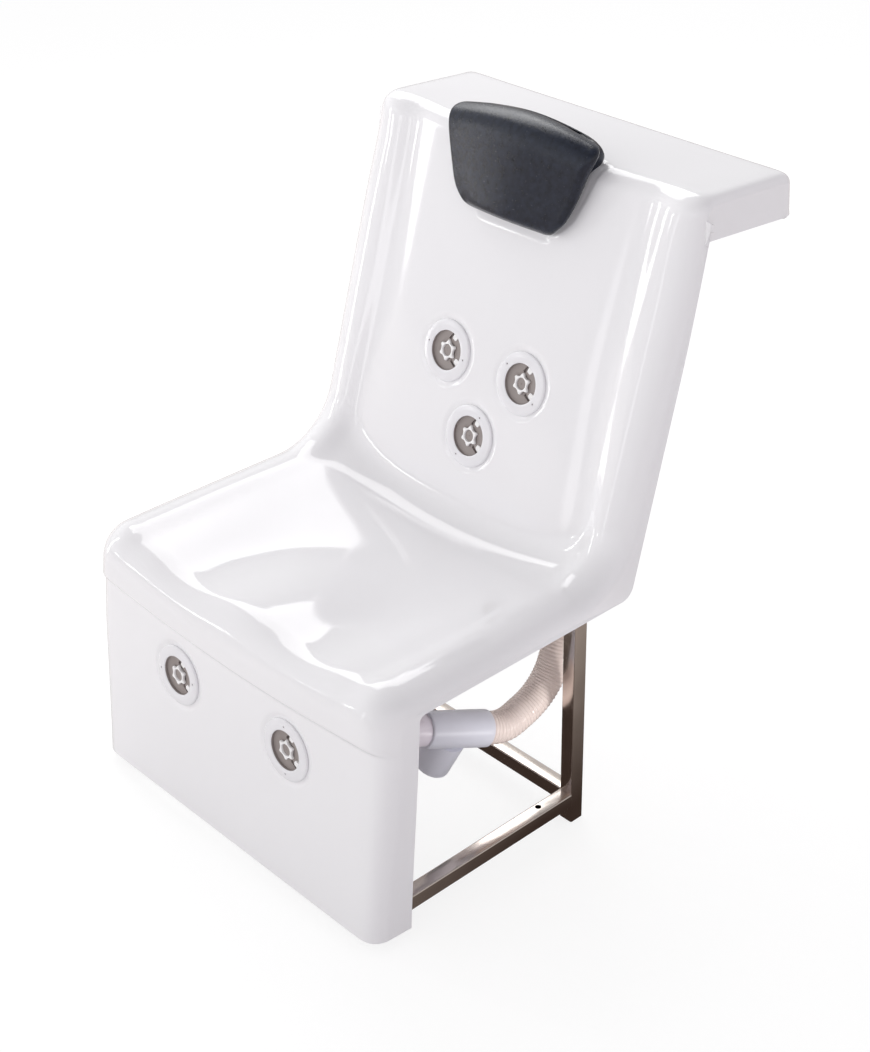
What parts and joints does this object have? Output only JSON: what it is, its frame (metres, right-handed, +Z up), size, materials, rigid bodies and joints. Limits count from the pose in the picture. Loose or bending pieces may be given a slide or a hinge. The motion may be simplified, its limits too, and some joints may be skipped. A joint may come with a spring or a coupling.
{
  "type": "pedicure spa chair",
  "caption": "Hydro-massage seat module for a pedicure spa: glossy one-piece shell with apron, pan, back and shelf, adjustable jets, head pillow, tube frame and pipework.",
  "frame": {"origin": "centre of the bounding box on the floor plane", "axes": "+Z up, -Y to the front of the chair, +X to the sitter's left side as seen facing forward, which is the right side in the picture"},
  "size_m": [0.688, 0.845, 0.9989],
  "materials": {
    "stainless_tube": "polished square tube, welded",
    "shell": "vacuum-formed glossy acrylic, white",
    "pillow_skin": "integral-skin polyurethane, leather grain, charcoal",
    "peg_nylon": "moulded nylon, black",
    "bezel_white": "moulded white plastic",
    "nozzle_white": "moulded white plastic",
    "socket_grey": "moulded warm grey plastic",
    "black_rubber": "moulded black rubber",
    "clamp_steel": "rolled stainless strip",
    "pvc_blue_grey": "moulded blue-grey PVC",
    "pvc_white": "extruded white PVC",
    "hose_cream": "ribbed cream PVC, glossy",
    "feed_hose_clear": "milky vinyl hose"
  },
  "bodies": {
    "base": {"back_manifold": "pvc_white", "feed_hose_back_left": "feed_hose_clear", "feed_hose_back_low": "feed_hose_clear", "feed_hose_back_right": "feed_hose_clear", "feed_hose_front_left": "feed_hose_clear", "feed_hose_front_right": "feed_hose_clear", "frame_arm_left": "stainless_tube", "frame_arm_right": "stainless_tube", "frame_back_rail_high": "stainless_tube", "frame_back_rail_low": "stainless_tube", "frame_cross_front": "stainless_tube", "frame_cross_rear": "stainless_tube", "frame_leg_front_left": "stainless_tube", "frame_leg_front_right": "stainless_tube", "frame_leg_rear_left": "stainless_tube", "frame_leg_rear_right": "stainless_tube", "frame_post_left": "stainless_tube", "frame_post_right": "stainless_tube", "frame_rail_low_front": "stainless_tube", "frame_rail_low_left": "stainless_tube", "frame_rail_low_rear": "stainless_tube", "frame_rail_low_right": "stainless_tube", "frame_rail_top_left": "stainless_tube", "frame_rail_top_right": "stainless_tube", "frame_shelf_rail": "stainless_tube", "front_pipe": "pvc_white", "hose_elbow": "pvc_blue_grey", "jet_back_left_socket": "socket_grey", "jet_back_low_socket": "socket_grey", "jet_back_right_socket": "socket_grey", "jet_front_left_socket": "socket_grey", "jet_front_right_socket": "socket_grey", "jet_gaskets": "black_rubber", "jet_lock_nuts": "socket_grey", "leg_caps": "black_rubber", "pipe_hangers": "clamp_steel", "pvc_tee": "pvc_blue_grey", "ribbed_hose": "hose_cream", "seat_shell": "shell", "support_pads": "black_rubber"},
    "pillow": {"head_pillow": "pillow_skin", "pillow_pegs": "peg_nylon"},
    "jet_back_left_ring": {"jet_back_left_bezel": "bezel_white"},
    "jet_back_left_star": {"jet_back_left_nozzle": "nozzle_white"},
    "jet_back_right_ring": {"jet_back_right_bezel": "bezel_white"},
    "jet_back_right_star": {"jet_back_right_nozzle": "nozzle_white"},
    "jet_back_low_ring": {"jet_back_low_bezel": "bezel_white"},
    "jet_back_low_star": {"jet_back_low_nozzle": "nozzle_white"},
    "jet_front_left_ring": {"jet_front_left_bezel": "bezel_white"},
    "jet_front_left_star": {"jet_front_left_nozzle": "nozzle_white"},
    "jet_front_right_ring": {"jet_front_right_bezel": "bezel_white"},
    "jet_front_right_star": {"jet_front_right_nozzle": "nozzle_white"}
  },
  "joints": [
    {"name": "jet_back_left_ring_turn", "type": "hinge", "parent": "base", "child": "jet_back_left_ring", "pos_m": [-0.0808, 0.1196, 0.63159], "axis": [0, -0.9592, 0.2828], "range_deg": [0, 90]},
    {"name": "jet_back_left_star_spin", "type": "hinge", "parent": "base", "child": "jet_back_left_star", "pos_m": [-0.0808, 0.13878, 0.62593], "axis": [0, -0.9592, 0.2828], "continuous": true},
    {"name": "jet_back_right_ring_turn", "type": "hinge", "parent": "base", "child": "jet_back_right_ring", "pos_m": [0.0808, 0.1196, 0.63159], "axis": [0, -0.9592, 0.2828], "range_deg": [0, 90]},
    {"name": "jet_back_right_star_spin", "type": "hinge", "parent": "base", "child": "jet_back_right_star", "pos_m": [0.0808, 0.13878, 0.62593], "axis": [0, -0.9592, 0.2828], "continuous": true},
    {"name": "jet_back_low_ring_turn", "type": "hinge", "parent": "base", "child": "jet_back_low_ring", "pos_m": [0, 0.08775, 0.52359], "axis": [0, -0.9592, 0.2828], "range_deg": [0, 90]},
    {"name": "jet_back_low_star_spin", "type": "hinge", "parent": "base", "child": "jet_back_low_star", "pos_m": [0, 0.10694, 0.51793], "axis": [0, -0.9592, 0.2828], "continuous": true},
    {"name": "jet_front_left_ring_turn", "type": "hinge", "parent": "base", "child": "jet_front_left_ring", "pos_m": [-0.1285, -0.40144, 0.249], "axis": [0, -0.996, 0.0896], "range_deg": [0, 90]},
    {"name": "jet_front_left_star_spin", "type": "hinge", "parent": "base", "child": "jet_front_left_star", "pos_m": [-0.1285, -0.38152, 0.24721], "axis": [0, -0.996, 0.0896], "continuous": true},
    {"name": "jet_front_right_ring_turn", "type": "hinge", "parent": "base", "child": "jet_front_right_ring", "pos_m": [0.1285, -0.40144, 0.249], "axis": [0, -0.996, 0.0896], "range_deg": [0, 90]},
    {"name": "jet_front_right_star_spin", "type": "hinge", "parent": "base", "child": "jet_front_right_star", "pos_m": [0.1285, -0.38152, 0.24721], "axis": [0, -0.996, 0.0896], "continuous": true},
    {"name": "pillow_pull_off", "type": "slide", "parent": "base", "child": "pillow", "axis": [0, -0.9592, 0.2828], "range_m": [0, 0.06]}
  ]
}
